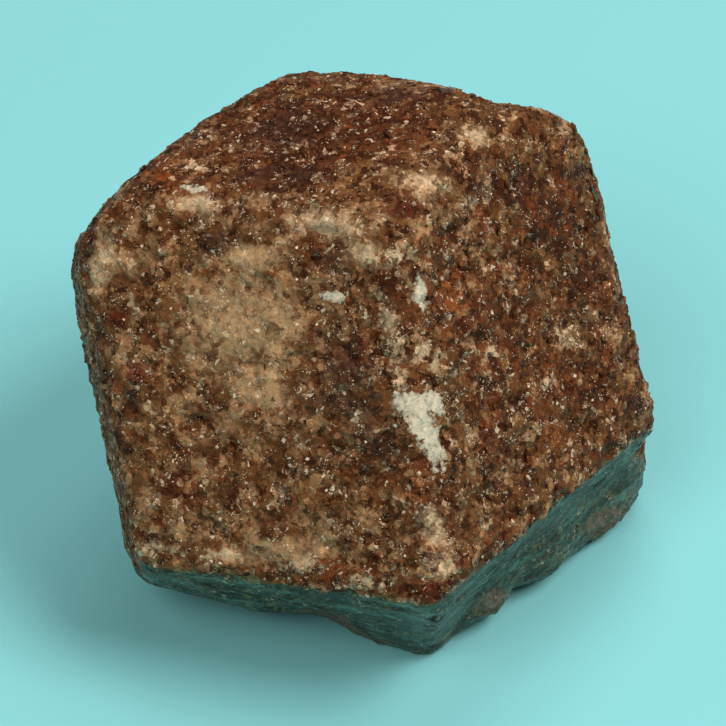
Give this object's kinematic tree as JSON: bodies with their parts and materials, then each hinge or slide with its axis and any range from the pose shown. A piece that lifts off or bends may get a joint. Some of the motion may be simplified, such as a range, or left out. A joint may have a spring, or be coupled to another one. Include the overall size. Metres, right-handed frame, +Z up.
{
  "type": "garnet crystal",
  "caption": "Worn, slightly crooked garnet crystal with blunt rhombic faces, a sugary brown surface, pale feldspar patches and a broken lower edge, lying on one face.",
  "frame": {"origin": "middle of the stone's footprint box, on the plane that it rests on", "axes": "+Z up from the face that it rests on, -Y towards the front corner, +X to the right"},
  "size_m": [0.0344, 0.0354, 0.0276],
  "materials": {
    "garnet": "granular and slightly glittering, with smoother, half-glossy faces underneath"
  },
  "bodies": {
    "root": {"garnet_crystal": "garnet"}
  },
  "joints": []
}
